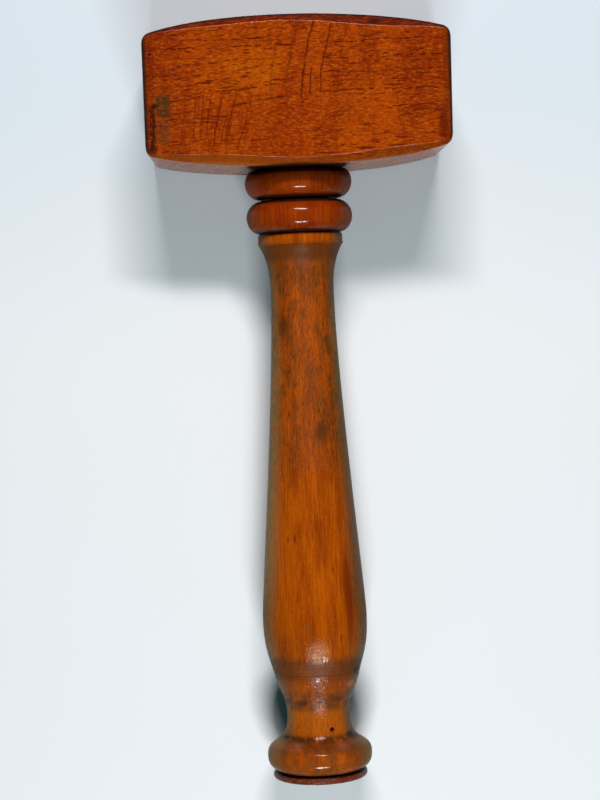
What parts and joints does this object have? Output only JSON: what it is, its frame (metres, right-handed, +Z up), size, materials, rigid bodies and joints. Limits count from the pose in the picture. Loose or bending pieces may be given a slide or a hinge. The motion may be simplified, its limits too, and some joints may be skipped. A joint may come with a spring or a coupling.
{
  "type": "ceremonial gavel",
  "caption": "Wooden ceremonial gavel with a barrel-shaped, chamfered head block wedged on a turned handle with beads, a swelling grip, a narrow waist and a round foot.",
  "frame": {"origin": "on the table under the middle of the gavel, as it lies at rest on its head's lower back edge and its foot bead", "axes": "+X along the head, +Y from the foot toward the head, +Z up from the table"},
  "size_m": [0.1066, 0.272, 0.0569],
  "materials": {
    "head_wood": "satin varnish over orange-brown beech",
    "handle_wood": "satin varnish over orange-brown beech, darkened by handling",
    "wedge_wood": "sawn end grain under thin varnish",
    "disc_wood": "red-brown varnish, rough at the rim"
  },
  "bodies": {
    "root": {"head_block": "head_wood", "turned_handle": "handle_wood", "tenon_wedge": "wedge_wood", "foot_disc": "disc_wood"}
  },
  "joints": []
}
